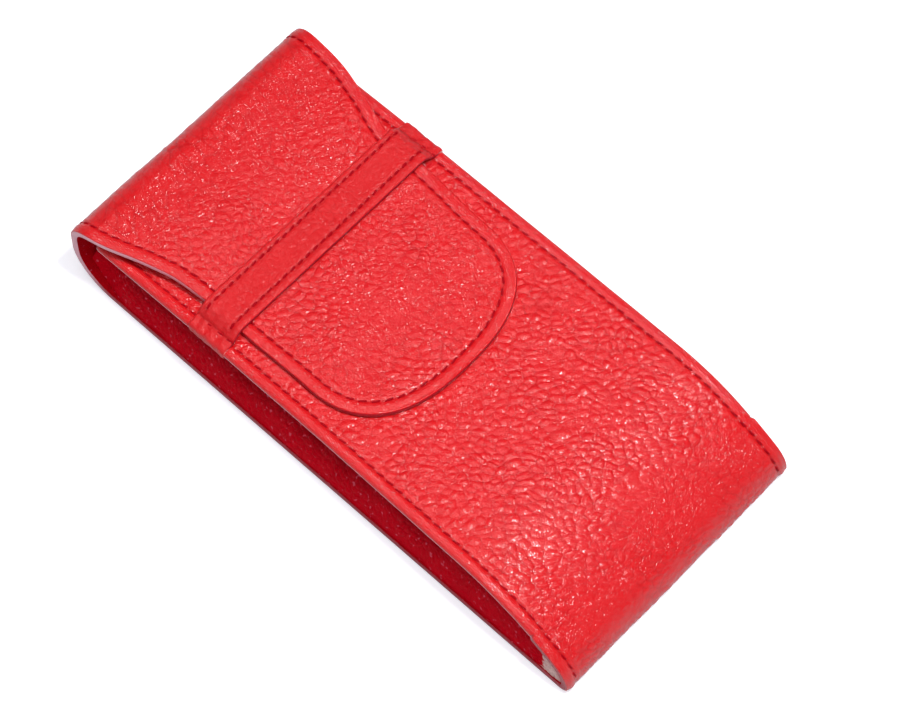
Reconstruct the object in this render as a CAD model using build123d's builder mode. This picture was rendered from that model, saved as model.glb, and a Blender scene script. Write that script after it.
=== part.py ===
from build123d import *
import math
import os

os.makedirs("parts", exist_ok=True)

# Slim leather flap case lying on its back, flap tucked under the band.
# X across the case, +Y towards the fold of the flap, +Z up, back face on Z = 0.

# Overall sizes
length = 158.0
width = 75.0
front_height = 21.6
mouth_height = 19.9

# Sheet thicknesses
leather = 1.2
lining = 0.8
gusset_leather = 0.9
band_skin = 0.8
band_backing = 0.6
laminate = leather + lining

# Clearances
slip = 0.3
thread_clear = 0.1
thread_rest = 0.03

# Bottom turn of the wrap
heel_radius = 2.6
turn_run = 33.0
turn_split = 50.0

# Front panel
mouth_setback = 8.0
roll_inset = 1.1
roll_lap = 1.2
roll_stop = 10.4

# Fold of the flap
low_radius = 12.0
lift_split = 25.0
low_split = 75.0
corner_radius = 7.5
corner_split = 45.0
flap_crown = 0.6

# Flap outline
tongue_inset = 8.4
tongue_reach = 93.0
tongue_corner = 20.0
shoulder_length = 25.0

# Band
band_width = 11.6
band_setback = 38.3
band_upper_margin = 1.5
band_lower_margin = 2.4
band_slope = 1.05
band_side_gap = 0.45
band_end_proud = 0.4
band_end_drop = 2.0

# Gussets
gusset_depth = 2.9
gusset_flange = 3.8
gusset_edge = 0.5
gusset_setback = 13.0

# Stitching
seam_margin = 2.9
stitch_pitch = 3.0
band_pitch = 2.5
stitch_gap = 0.7
thread_width = 0.55
thread_height = 0.27
groove_width = 0.9
groove_depth = 0.4

# Derived positions
half = width / 2
front_half = half - roll_inset
tongue_half = half - tongue_inset
top_end = length / 2
bottom_end = -length / 2
mouth_y = top_end - mouth_setback
band_high = top_end - band_setback
band_low = band_high - band_width
tip_y = top_end - tongue_reach
flap_top = front_height + slip + laminate
crown_top = flap_top + flap_crown
band_under = flap_top + slip
low_centre = (top_end - low_radius, low_radius)
corner_centre = (top_end - corner_radius, crown_top - corner_radius)
hinge_y = low_centre[0]
back_seam_x = half - seam_margin
front_seam_x = front_half - seam_margin
far = 60.0


def turn_radii():
    """Radii of the two tangent arcs that carry the wrap from upright to level."""
    c = math.cos(math.radians(turn_split))
    s = math.sin(math.radians(turn_split))
    rise = front_height - heel_radius
    det = (1 - c) * (1 - s) - c * s
    first = (turn_run * (1 - s) - c * rise) / det
    second = ((1 - c) * rise - s * turn_run) / det
    return first, second


def pouch_line():
    """Outer line of back, bottom turn and front panel, from the hinge line to the mouth."""
    first, second = turn_radii()
    with BuildLine() as line:
        back = Line((hinge_y, 0), (bottom_end + heel_radius, 0))
        heel = JernArc(back @ 1, (-1, 0), heel_radius, -90)
        low = JernArc(heel @ 1, heel % 1, first, -turn_split)
        high = JernArc(low @ 1, low % 1, second, turn_split - 90)
        level = Line(high @ 1, (band_low, front_height))
        Line(level @ 1, (mouth_y, mouth_height))
    return line.wire()


def fold_line():
    """Outer line of flap and fold, from the tip round to the hinge line."""
    with BuildLine() as line:
        tongue = Line((tip_y, flap_top), (band_high, flap_top))
        rise = Line(tongue @ 1, (corner_centre[0], crown_top))
        corner = JernArc(rise @ 1, (1, 0), corner_radius, -90)
        wall = Line(corner @ 1, (top_end, low_radius))
        JernArc(wall @ 1, (0, -1), low_radius, -90)
    return line.wire()


def closed_face(line, ends, inset):
    """Face on the inner side of a line, closed through extra points, drawn in by inset."""
    with BuildSketch(Plane.YZ) as sketch:
        with BuildLine():
            add(line)
            Polyline(line @ 1, *ends, line @ 0)
        make_face()
        if inset > 0:
            offset(amount=-inset, kind=Kind.INTERSECTION)
    return sketch.sketch


def pouch_face(inset):
    slope = (mouth_height - front_height) / (mouth_y - band_low)
    reach = mouth_height + slope * (far - mouth_y + top_end)
    return closed_face(pouch_line(), [(top_end + far, reach), (top_end + far, 0)], inset)


def fold_face(inset):
    return closed_face(fold_line(), [(tip_y - far, 0), (tip_y - far, flap_top)], inset)


def zone(*points):
    """Flat region used to pick a stretch of a layer."""
    with BuildSketch(Plane.YZ) as sketch:
        with BuildLine():
            Polyline(*points, points[0])
        make_face()
    return sketch.sketch


def away(centre, angle):
    """Point far out from a centre, angle in degrees measured from +Y."""
    turn = math.radians(angle)
    return (centre[0] + far * math.cos(turn), centre[1] + far * math.sin(turn))


case_zone = zone(
    (hinge_y, -far), (hinge_y, low_radius), (mouth_y, low_radius),
    (mouth_y, far), (bottom_end - far, far), (bottom_end - far, -far),
)
roll_zone = zone(
    (bottom_end + roll_stop, low_radius), (top_end, low_radius),
    (top_end, far), (bottom_end + roll_stop, far),
)
lift_out = away(low_centre, lift_split - 90)
low_out = away(low_centre, low_split - 90)
corner_out = away(corner_centre, corner_split)
lift_zone = zone(low_centre, (hinge_y, -2 * far), (lift_out[0], -2 * far), lift_out)
low_zone = zone(low_centre, lift_out, (low_out[0], lift_out[1]), low_out)
high_zone = zone(low_centre, low_out, (top_end + far, low_radius), corner_out, corner_centre)
flap_zone = zone(
    corner_centre, corner_out, (corner_out[0], 2 * far),
    (tip_y - 1, 2 * far), (tip_y - 1, corner_centre[1]),
)


def pouch_layer(near, deep):
    return (pouch_face(near) - pouch_face(deep)) & case_zone


def fold_layer(near, deep, part_zone):
    return (fold_face(near) - fold_face(deep)) & part_zone


def wrap_layer(near, deep):
    """Layer of the pouch with the first stretch of the lower turn, up to the first hinge."""
    return pouch_layer(near, deep) + fold_layer(near, deep, lift_zone)


def seam_groove(layer, x):
    """Solid of the two stitch channels that run at x on both sides."""
    right = extrude(layer.moved(Location((x - groove_width / 2, 0, 0))), groove_width)
    return right + right.mirror(Plane.YZ)


def row_planes(line, x, start, end, pitch):
    """Planes of one row of stitches sunk below a line in the YZ plane."""
    count = round((end - start) / pitch)
    sink = groove_depth - thread_height / 2 - thread_rest
    planes = []
    for i in range(count):
        place = start + (i + 0.5) * (end - start) / count
        point = line.position_at(place, position_mode=PositionMode.LENGTH)
        way = line.tangent_at(place, position_mode=PositionMode.LENGTH)
        origin = (x, point.X + way.Y * sink, point.Y - way.X * sink)
        planes.append(Plane(origin, x_dir=(1, 0, 0), z_dir=(0, way.X, way.Y)))
    return planes


def cross_planes(y, z, reach, pitch, slope=0):
    """Planes of one row of stitches that runs across the case, face rising by slope with Y."""
    count = round(2 * reach / pitch)
    sink = groove_depth - thread_height / 2 - thread_rest
    planes = []
    for i in range(count):
        x = -reach + (i + 0.5) * 2 * reach / count
        planes.append(Plane((x, y, z - sink), x_dir=(0, 1, slope), z_dir=(1, 0, 0)))
    return planes


def stitch(pitch):
    """One stitch, length along its local Z."""
    return Box(thread_width, thread_height, pitch - stitch_gap)


pouch = pouch_line()
fold = fold_line()
back_length = hinge_y - bottom_end - heel_radius
heel_length = math.pi / 2 * heel_radius
front_start = back_length + heel_length + stitch_pitch
band_start = pouch.length - (mouth_y - band_low)
band_end = band_start + band_width
corner_length = math.pi / 2 * corner_radius
low_length = math.pi / 2 * low_radius
lift_cut = fold.length - low_length * lift_split / 90
low_cut = fold.length - low_length * low_split / 90
high_cut = fold.length - low_length - (corner_centre[1] - low_radius) - corner_length / 2

# Wrap: back, bottom turn and front panel in one strip of leather
wrap_leather_section = wrap_layer(0, leather)
wrap_lining_section = wrap_layer(leather, laminate)
roll_section = wrap_lining_section & roll_zone
roll_trim = pouch_layer(0, laminate) & roll_zone
heel_top = zone(
    (bottom_end - far, heel_radius), (top_end, heel_radius), (top_end, far), (bottom_end - far, far)
)
back_part = zone(
    (bottom_end + heel_radius, -far), (top_end, -far),
    (top_end, heel_radius), (bottom_end + heel_radius, heel_radius),
)
front_groove = seam_groove(pouch_layer(0, groove_depth) & heel_top, front_seam_x)
back_groove = seam_groove(wrap_layer(0, groove_depth) & back_part, back_seam_x)
mouth_seam_y = mouth_y - seam_margin
mouth_slope = (mouth_height - front_height) / (mouth_y - band_low)
mouth_seam_z = mouth_height - mouth_slope * seam_margin
mouth_seam_half = front_seam_x - stitch_pitch
mouth_zone = zone(
    (mouth_seam_y - groove_width / 2, low_radius), (mouth_seam_y + groove_width / 2, low_radius),
    (mouth_seam_y + groove_width / 2, far), (mouth_seam_y - groove_width / 2, far),
)
mouth_groove_section = pouch_layer(0, groove_depth) & mouth_zone

with BuildPart() as wrap_leather:
    extrude(to_extrude=wrap_leather_section, amount=half)
    extrude(
        to_extrude=roll_trim.moved(Location((front_half, 0, 0))),
        amount=roll_inset, mode=Mode.SUBTRACT,
    )
    extrude(to_extrude=roll_section.moved(Location((front_half - roll_lap, 0, 0))), amount=roll_lap)
    mirror(about=Plane.YZ)
    add(front_groove, mode=Mode.SUBTRACT)
    add(back_groove, mode=Mode.SUBTRACT)
    extrude(to_extrude=mouth_groove_section, amount=mouth_seam_half, both=True, mode=Mode.SUBTRACT)
wrap_leather.part.label = "wrap_leather"

with BuildPart() as wrap_lining:
    extrude(to_extrude=wrap_lining_section, amount=half)
    extrude(
        to_extrude=roll_section.moved(Location((front_half - roll_lap, 0, 0))),
        amount=roll_lap + roll_inset, mode=Mode.SUBTRACT,
    )
    mirror(about=Plane.YZ)
wrap_lining.part.label = "wrap_lining"

# Gussets: a flange glued inside the wrap and a web folded inwards
gusset_zone = zone(
    (top_end - gusset_setback, -far), (top_end - gusset_setback, far),
    (bottom_end, far), (bottom_end, -far),
)
flange_section = (pouch_face(laminate) - pouch_face(laminate + gusset_leather)) & gusset_zone
inside_section = pouch_face(laminate) & gusset_zone
flange_out = front_half - gusset_edge
crease_x = flange_out - gusset_depth
web_points = [
    (flange_out, front_height), (crease_x, front_height / 2), (flange_out, 0),
    (flange_out - gusset_leather, 0), (crease_x - gusset_leather, front_height / 2),
    (flange_out - gusset_leather, front_height),
]

with BuildPart() as gusset_right:
    with BuildSketch(Plane.XZ) as web_sketch:
        with BuildLine():
            Polyline(*web_points, close=True)
        make_face()
    extrude(amount=length, both=True)
    extrude(to_extrude=inside_section, amount=half, mode=Mode.INTERSECT)
    extrude(
        to_extrude=flange_section.moved(Location((flange_out - gusset_flange, 0, 0))),
        amount=gusset_flange,
    )
gusset_right.part.label = "gusset_right"

with BuildPart() as gusset_left:
    mirror(gusset_right.part, about=Plane.YZ)
gusset_left.part.label = "gusset_left"

# Band: bridges the flap and is caught under the side seams
foot_in = tongue_half + band_side_gap + band_slope
backing_top = band_under + band_backing
band_top = backing_top + band_skin
end_top = front_height + band_skin
backing_points = [
    (0, band_under), (foot_in - band_slope, band_under), (foot_in, front_height),
    (foot_in + band_backing, front_height),
    (foot_in - band_slope + band_backing, backing_top), (0, backing_top),
]
skin_points = [
    (0, backing_top), (foot_in - band_slope + band_backing, backing_top),
    (foot_in + band_backing, front_height), (front_half, front_height),
    (front_half, front_height - band_end_drop),
    (front_half + band_end_proud, front_height - band_end_drop),
    (front_half + band_end_proud, end_top), (foot_in + band_backing + band_skin, end_top),
    (foot_in - band_slope + band_backing + band_skin, band_top), (0, band_top),
]
band_plane = Plane.XZ.offset(-band_low)
band_row_half = foot_in - band_slope
upper_row_y = band_high - band_upper_margin
lower_row_y = band_low + band_lower_margin

with BuildPart() as band_lining:
    with BuildSketch(band_plane):
        with BuildLine():
            Polyline(*backing_points, close=True)
        make_face()
    extrude(amount=-band_width)
    mirror(about=Plane.YZ)
band_lining.part.label = "band_lining"

with BuildPart() as band_leather:
    with BuildSketch(band_plane):
        with BuildLine():
            Polyline(*skin_points, close=True)
        make_face()
    extrude(amount=-band_width)
    mirror(about=Plane.YZ)
    with Locations((0, upper_row_y, band_top), (0, lower_row_y, band_top)):
        Box(2 * band_row_half, groove_width, 2 * groove_depth, mode=Mode.SUBTRACT)
band_leather.part.label = "band_leather"

# Turns of the fold and the flap itself
with BuildPart() as turn_low_leather:
    extrude(to_extrude=fold_layer(0, leather, low_zone), amount=half, both=True)
    add(seam_groove(fold_layer(0, groove_depth, low_zone), back_seam_x), mode=Mode.SUBTRACT)
turn_low_leather.part.label = "turn_low_leather"

with BuildPart() as turn_low_lining:
    extrude(to_extrude=fold_layer(leather, laminate, low_zone), amount=half, both=True)
turn_low_lining.part.label = "turn_low_lining"

with BuildPart() as turn_high_leather:
    extrude(to_extrude=fold_layer(0, leather, high_zone), amount=half, both=True)
    add(seam_groove(fold_layer(0, groove_depth, high_zone), back_seam_x), mode=Mode.SUBTRACT)
turn_high_leather.part.label = "turn_high_leather"

with BuildPart() as turn_high_lining:
    extrude(to_extrude=fold_layer(leather, laminate, high_zone), amount=half, both=True)
turn_high_lining.part.label = "turn_high_lining"


def flap_outline(inset):
    """Half outline of the flap from the fold to the middle of the tip, drawn in by inset."""
    side = tongue_half - inset
    radius = tongue_corner - inset
    with BuildLine() as line:
        run = Line((half - inset, top_end), (half - inset, hinge_y))
        shoulder = Spline(
            run @ 1, (side, hinge_y - shoulder_length), tangents=[(0, -1), (0, -1)]
        )
        edge = Line(shoulder @ 1, (side, tip_y + tongue_corner))
        corner = JernArc(edge @ 1, (0, -1), radius, -90)
        Line(corner @ 1, (0, tip_y + inset))
    return line.wire()


def flap_plan(inset):
    """Plan of the flap, drawn in by inset."""
    line = flap_outline(inset)
    with BuildSketch() as sketch:
        with BuildLine():
            add(line)
            Polyline(line @ 1, (0, top_end), line @ 0)
        make_face()
        mirror(about=Plane.YZ)
    return sketch.sketch


flap_block = extrude(flap_plan(0), 2 * far)
flap_channel = extrude(
    flap_plan(seam_margin - groove_width / 2) - flap_plan(seam_margin + groove_width / 2), 2 * far
)

with BuildPart() as flap_channel_cut:
    extrude(to_extrude=fold_layer(0, groove_depth, flap_zone), amount=half, both=True)
    add(flap_channel, mode=Mode.INTERSECT)

with BuildPart() as flap_leather:
    extrude(to_extrude=fold_layer(0, leather, flap_zone), amount=half, both=True)
    add(flap_block, mode=Mode.INTERSECT)
    add(flap_channel_cut.part, mode=Mode.SUBTRACT)
flap_leather.part.label = "flap_leather"

with BuildPart() as flap_lining:
    extrude(to_extrude=fold_layer(leather, laminate, flap_zone), amount=half, both=True)
    add(flap_block, mode=Mode.INTERSECT)
flap_lining.part.label = "flap_lining"


def flap_planes():
    """Stitch planes along one side and half the tip, laid on the flap's upper face."""
    line = flap_outline(seam_margin)
    start = top_end - corner_centre[0]
    count = round((line.length - start) / stitch_pitch)
    sink = groove_depth - thread_height / 2 - thread_rest
    rise = crown_top - flap_top
    planes = []
    for i in range(count):
        place = start + (i + 0.5) * (line.length - start) / count
        point = line.position_at(place, position_mode=PositionMode.LENGTH)
        way = line.tangent_at(place, position_mode=PositionMode.LENGTH)
        climb = max(0, (point.Y - band_high) / (corner_centre[0] - band_high))
        slope = rise / (corner_centre[0] - band_high) if climb > 0 else 0
        origin = (point.X, point.Y, flap_top + climb * rise - sink)
        planes.append(Plane(origin, x_dir=(-way.Y, way.X, 0), z_dir=(way.X, way.Y, way.Y * slope)))
    return planes


# Threads
def side_thread(x, start, end):
    """Seam stitches along the pouch line at x."""
    with BuildPart() as thread:
        with Locations(*row_planes(pouch, x, start, end, stitch_pitch)):
            stitch(stitch_pitch)
    return thread.part


def front_thread(side):
    """Front seam: the wrap, then over the band end, then on to the mouth."""
    lift = end_top + thread_height / 2
    middle = (band_low + band_high) / 2
    with BuildPart() as thread:
        add(side_thread(side * front_seam_x, front_start, band_start - thread_clear))
        add(side_thread(side * front_seam_x, band_end + thread_clear, pouch.length - thread_clear))
        for step in (-1, 0, 1):
            spot = middle + step * stitch_pitch
            with Locations(Plane((side * front_seam_x, spot, lift), x_dir=(1, 0, 0), z_dir=(0, 1, 0))):
                stitch(stitch_pitch)
    return thread.part


with BuildPart() as front_left_thread:
    add(front_thread(-1))
front_left_thread.part.label = "front_left_thread"

with BuildPart() as front_right_thread:
    add(front_thread(1))
front_right_thread.part.label = "front_right_thread"

def back_thread(side):
    """Back seam: the lift at the fold end, then the flat back down to the bottom turn."""
    with BuildPart() as thread:
        add(side_thread(side * back_seam_x, thread_clear, back_length - thread_clear))
        with Locations(*row_planes(fold, side * back_seam_x, lift_cut, fold.length, stitch_pitch)):
            stitch(stitch_pitch)
    return thread.part


with BuildPart() as back_left_thread:
    add(back_thread(-1))
back_left_thread.part.label = "back_left_thread"

with BuildPart() as back_right_thread:
    add(back_thread(1))
back_right_thread.part.label = "back_right_thread"

with BuildPart() as mouth_thread:
    mouth_row = cross_planes(mouth_seam_y, mouth_seam_z, mouth_seam_half, stitch_pitch, mouth_slope)
    with Locations(*mouth_row):
        stitch(stitch_pitch)
mouth_thread.part.label = "mouth_thread"

with BuildPart() as band_upper_thread:
    with Locations(*cross_planes(upper_row_y, band_top, band_row_half, band_pitch)):
        stitch(band_pitch)
band_upper_thread.part.label = "band_upper_thread"

with BuildPart() as band_lower_thread:
    with Locations(*cross_planes(lower_row_y, band_top, band_row_half, band_pitch)):
        stitch(band_pitch)
band_lower_thread.part.label = "band_lower_thread"

with BuildPart() as turn_low_thread:
    for side in (-1, 1):
        with Locations(*row_planes(fold, side * back_seam_x, low_cut, lift_cut, stitch_pitch)):
            stitch(stitch_pitch)
turn_low_thread.part.label = "turn_low_thread"

with BuildPart() as turn_high_thread:
    for side in (-1, 1):
        with Locations(*row_planes(fold, side * back_seam_x, high_cut, low_cut, stitch_pitch)):
            stitch(stitch_pitch)
turn_high_thread.part.label = "turn_high_thread"

with BuildPart() as flap_thread:
    with Locations(*flap_planes()):
        stitch(stitch_pitch)
    mirror(about=Plane.YZ)
    for side in (-1, 1):
        flat_end = fold.length - low_length - (corner_centre[1] - low_radius) - corner_length
        with Locations(*row_planes(fold, side * back_seam_x, flat_end, high_cut, stitch_pitch)):
            stitch(stitch_pitch)
flap_thread.part.label = "flap_thread"

pieces = [
    wrap_leather, wrap_lining, gusset_left, gusset_right, band_leather, band_lining,
    front_left_thread, front_right_thread, back_left_thread, back_right_thread, mouth_thread,
    band_upper_thread, band_lower_thread, turn_low_leather, turn_low_lining, turn_low_thread,
    turn_high_leather, turn_high_lining, turn_high_thread, flap_leather, flap_lining, flap_thread,
]
for piece in pieces:
    export_step(piece.part, "parts/" + piece.part.label + ".step")
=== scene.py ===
import bpy
import numpy as np
from mathutils import Matrix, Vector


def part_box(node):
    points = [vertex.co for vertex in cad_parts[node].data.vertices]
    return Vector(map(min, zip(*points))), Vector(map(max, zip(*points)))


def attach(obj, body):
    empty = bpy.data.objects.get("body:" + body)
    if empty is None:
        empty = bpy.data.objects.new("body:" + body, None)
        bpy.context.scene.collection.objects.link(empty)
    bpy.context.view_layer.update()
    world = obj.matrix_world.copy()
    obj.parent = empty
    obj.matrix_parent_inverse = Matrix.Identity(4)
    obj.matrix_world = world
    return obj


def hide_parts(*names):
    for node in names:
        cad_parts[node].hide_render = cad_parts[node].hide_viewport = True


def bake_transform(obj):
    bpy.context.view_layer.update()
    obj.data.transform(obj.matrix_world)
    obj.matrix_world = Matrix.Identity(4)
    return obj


# Slim leather flap case. Lengths are in millimetres until a mesh is made.
# Leather surfaces are written in flat leather coordinates: a across, s along the strip, h outwards.

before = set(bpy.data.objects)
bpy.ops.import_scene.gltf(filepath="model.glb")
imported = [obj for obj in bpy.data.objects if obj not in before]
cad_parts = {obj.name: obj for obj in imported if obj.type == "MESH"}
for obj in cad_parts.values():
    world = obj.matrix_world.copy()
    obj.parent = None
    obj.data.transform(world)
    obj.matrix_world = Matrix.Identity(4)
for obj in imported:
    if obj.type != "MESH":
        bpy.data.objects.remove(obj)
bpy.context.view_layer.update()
MM = 0.001


def box(node):
    low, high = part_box(node)
    return np.array(low) / MM, np.array(high) / MM


# ------------------------------------------------------------------ sizes from the frame
wrap_low, wrap_high = box("wrap_leather")
flap_low, flap_high = box("flap_leather")
band_low, band_high = box("band_leather")
seam_low, seam_high = box("front_right_thread")
HALF = wrap_high[0]  # half width of the back and the fold
BOTTOM = wrap_low[1]
TOP = box("turn_high_leather")[1][1]  # back of the fold
FRONT_Z = wrap_high[2]
CROWN_Z = flap_high[2]
TIP_Y = flap_low[1]  # tip of the tongue
BAND_Y0, BAND_Y1 = band_low[1], band_high[1]
BAND_Z = band_high[2]
BAND_LIP = 0.4  # how far the band stands past the sides of the front panel
FRONT_HALF = band_high[0] - BAND_LIP
SEAM_FRONT = 0.5 * (seam_low[0] + seam_high[0])

# ------------------------------------------------------------------ sizes given
SEAM_INSET = 2.9  # from a cut edge to its seam
LAMINATE = 2.0  # leather and lining together
FLAP_Z = CROWN_Z - 0.6
CROWN_SWELL = 0.9
MOUTH_Y = TOP - 8.0
MOUTH_Z = FRONT_Z - 1.7
TONGUE_HALF = HALF - 8.4
TONGUE_SPREAD = 0.8  # the tongue widens by this before its shoulders
TONGUE_ROUND = 23.0  # length of the tongue's round end
TONGUE_POWER = 2.5
LOW_R = 12.0  # radii of the fold, below and above
CORNER_R = 7.5
HEEL_R = 2.6  # radius where the back turns up at the bottom
TURN_RUN = 34.5  # length of the bottom turn
PITCH = 3.0
BAND_PITCH = 2.5
BAND_SKIN = 0.8
BAND_OVER_SEAM = 1.45  # height of the band over the seams that hold its ends
CUT_BULGE = 0.25
ROLL_BULGE = 0.85  # what the rolled edge adds to it
ROLL_EXTRA = 0.3
STEP = 0.32  # spacing of the surface points

rng = np.random.default_rng(7)


# ------------------------------------------------------------------ helpers
def smooth(x, a, b):
    t = np.clip((x - a) / (b - a), 0.0, 1.0)
    return t * t * (3 - 2 * t)


def bell(x, width):
    return np.exp(-((x / width) ** 2))


def hash2(i, j, seed):
    """Two random fields in 0..1 for whole numbers i, j: fraction of a large sine."""
    k = np.sin(i * 127.1 + j * 311.7 + seed * 74.7) * 43758.5453
    m = np.sin(i * 269.5 + j * 183.3 + seed * 19.3) * 28643.7321
    return k - np.floor(k), m - np.floor(m)


def noise(u, v, size, seed):
    """Smooth value noise in -1..1 with lumps of the given size."""
    gu, gv = u / size, v / size
    iu, iv = np.floor(gu), np.floor(gv)
    fu, fv = gu - iu, gv - iv
    fu, fv = fu * fu * (3 - 2 * fu), fv * fv * (3 - 2 * fv)
    a = hash2(iu, iv, seed)[0]
    b = hash2(iu + 1, iv, seed)[0]
    c = hash2(iu, iv + 1, seed)[0]
    d = hash2(iu + 1, iv + 1, seed)[0]
    return 2 * (a + (b - a) * fu + (c - a) * fv + (a - b - c + d) * fu * fv) - 1


def cells(u, v, size, seed, spread=0.95):
    """Distances to the two nearest points of a jittered lattice, and a random number of the nearest."""
    gu, gv = u / size, v / size
    iu, iv = np.floor(gu), np.floor(gv)
    f1 = np.full(u.shape, 9.0)
    f2 = np.full(u.shape, 9.0)
    tag = np.zeros(u.shape)
    for di in (-1, 0, 1):
        for dj in (-1, 0, 1):
            ci, cj = iu + di, iv + dj
            ru, rv = hash2(ci, cj, seed)
            d = np.hypot(ci + 0.5 + (ru - 0.5) * spread - gu, cj + 0.5 + (rv - 0.5) * spread - gv)
            near = d < f1
            f2 = np.where(near, f1, np.minimum(f2, d))
            tag = np.where(near, ru, tag)
            f1 = np.where(near, d, f1)
    return f1 * size, f2 * size, tag


def pebbles(u, v, seed, long_way=(0.7, -0.7), stretch=0.24, size=2.1):
    """Tumbled grain. Each cell of a warped, drawn-out pattern is a pillow, 1 - r^2.3 with r the share
    of the way from its middle to its crease; a finer pattern, 1 - q^2, wrinkles it. Cells differ in
    height. Gives the height in mm and r^5, the mask for shade painted into the creases."""
    wu = u + 0.3 * noise(u, v, 2.6, seed) + 1.5 * noise(u, v, 9.0, seed + 1)
    wv = v + 0.3 * noise(u, v, 2.4, seed + 2) + 1.5 * noise(u, v, 8.0, seed + 3)
    along = (wu * long_way[0] + wv * long_way[1]) * (1 - stretch)
    over = (wv * long_way[0] - wu * long_way[1]) * (1 + stretch)
    a1, a2, tag = cells(along, over, size, seed + 4)
    b1, b2, _ = cells(along + 0.4 * over, over - 0.4 * along, 0.52 * size, seed + 5)
    r = 2 * a1 / (a1 + a2)
    q = 2 * b1 / (b1 + b2)
    strength = 0.8 + 0.35 * noise(u, v, 7.0, seed + 6)
    pillow = 0.33 * (1 - r**2.3) * (0.6 + 0.8 * tag)
    wrinkle = 0.05 * (1 - q**2) * (1 - 0.5 * r)
    height = strength * (pillow + wrinkle) + 0.04 * (tag - 0.5)
    return height, np.clip(strength * 0.75 * r**5, 0, 1)


class Path:
    """A line in a plane, drawn by points, smoothed and measured along its length.
    at(a, s, h) = point(s) + a * across + h * normal(s), with normal = across x tangent turned out."""

    def __init__(self, points, origin, right, up, across, blur=0.8):
        points = np.array(points)
        keep = np.r_[True, np.hypot(*np.diff(points, axis=0).T) > 1e-6]
        points = points[keep]
        length = np.r_[0, np.cumsum(np.hypot(*np.diff(points, axis=0).T))]
        step = 0.2
        s = np.arange(0, length[-1], step)
        p = np.stack([np.interp(s, length, points[:, k]) for k in (0, 1)], 1)
        kernel = bell(np.arange(-3 * blur, 3 * blur + step / 2, step), blur)
        kernel /= kernel.sum()
        pad = len(kernel) // 2
        for k in (0, 1):
            start = 2 * p[0, k] - p[pad:0:-1, k]
            end = 2 * p[-1, k] - p[-2 : -pad - 2 : -1, k]
            p[:, k] = np.convolve(np.r_[start, p[:, k], end], kernel, "valid")[: len(s)]
        self.s = np.r_[0, np.cumsum(np.hypot(*np.diff(p, axis=0).T))]
        self.p = p
        t = np.gradient(p, self.s, axis=0)
        self.t = t / np.hypot(*t.T)[:, None]
        self.origin, self.right, self.up = map(np.array, (origin, right, up))
        self.across = np.array(across)
        self.length = self.s[-1]

    def _pair(self, values, s):
        return [np.interp(s, self.s, values[:, k])[..., None] for k in (0, 1)]

    def tangent(self, s):
        x, y = self._pair(self.t, s)
        return x * self.right + y * self.up

    def normal(self, s):
        x, y = self._pair(self.t, s)
        return -y * self.right + x * self.up

    def at(self, a, s, h=0.0):
        x, y = self._pair(self.p, s)
        out = self.origin + x * self.right + y * self.up
        return out + np.asarray(a)[..., None] * self.across + np.asarray(h)[..., None] * self.normal(s)

    def find(self, x, y):
        """Length along the path at its point nearest to (x, y)."""
        return self.s[np.argmin(np.hypot(self.p[:, 0] - x, self.p[:, 1] - y))]


def arc(centre, radius, start, end):
    """Points of an arc, angles in degrees from the path's right axis."""
    t = np.radians(np.linspace(start, end, 40))
    return np.stack([centre[0] + radius * np.cos(t), centre[1] + radius * np.sin(t)], 1)


def line(a, b, n=60):
    return np.linspace(a, b, n)


def turn_radii(run, rise, split=np.radians(50)):
    """Radii of two arcs that meet at the angle split and together turn by 90 degrees over run and rise."""
    c, s = np.cos(split), np.sin(split)
    det = (1 - c) * (1 - s) - c * s
    return (run * (1 - s) - c * rise) / det, ((1 - c) * rise - s * run) / det


def strip_points():
    """The leather strip seen from the side: tongue, crown, fold, back, heel, bottom turn, front."""
    low_c = (TOP - LOW_R, LOW_R)
    corner_c = (TOP - CORNER_R, CROWN_Z - CORNER_R)
    tongue = line((TIP_Y, FLAP_Z), (BAND_Y0, FLAP_Z))
    t = np.linspace(0, 1, 80)
    crown_y = BAND_Y0 + t * (corner_c[0] - BAND_Y0)
    crown_z = FLAP_Z + (CROWN_Z - FLAP_Z) * t + CROWN_SWELL * np.sin(np.pi * t) ** 1.3 * t**0.5
    r1, r2 = turn_radii(TURN_RUN, FRONT_Z - HEEL_R)
    heel_c = (BOTTOM + HEEL_R, HEEL_R)
    one = arc((BOTTOM + r1, HEEL_R), r1, 180, 130)
    c2 = one[-1] + r2 * np.array([np.cos(np.radians(-50)), np.sin(np.radians(-50))])
    two = arc(c2, r2, 130, 90)
    parts = [
        tongue, np.stack([crown_y, crown_z], 1), arc(corner_c, CORNER_R, 90, 0),
        line((TOP, corner_c[1]), (TOP, LOW_R), 20), arc(low_c, LOW_R, 0, -90),
        line((low_c[0], 0), (heel_c[0], 0), 200), arc(heel_c, HEEL_R, 270, 180),
        one, two, line(two[-1], (BAND_Y0, FRONT_Z), 90),
        line((BAND_Y0, FRONT_Z), (MOUTH_Y, MOUTH_Z), 90),
    ]
    return np.concatenate(parts)


strip = Path(strip_points(), (0, 0, 0), (0, 1, 0), (0, 0, 1), (1, 0, 0))


def on_arc(radius, degrees):
    """How far along and how far off the start an arc has come after the given turn."""
    turn = np.radians(degrees)
    return radius * np.sin(turn), radius * (1 - np.cos(turn))


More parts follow.
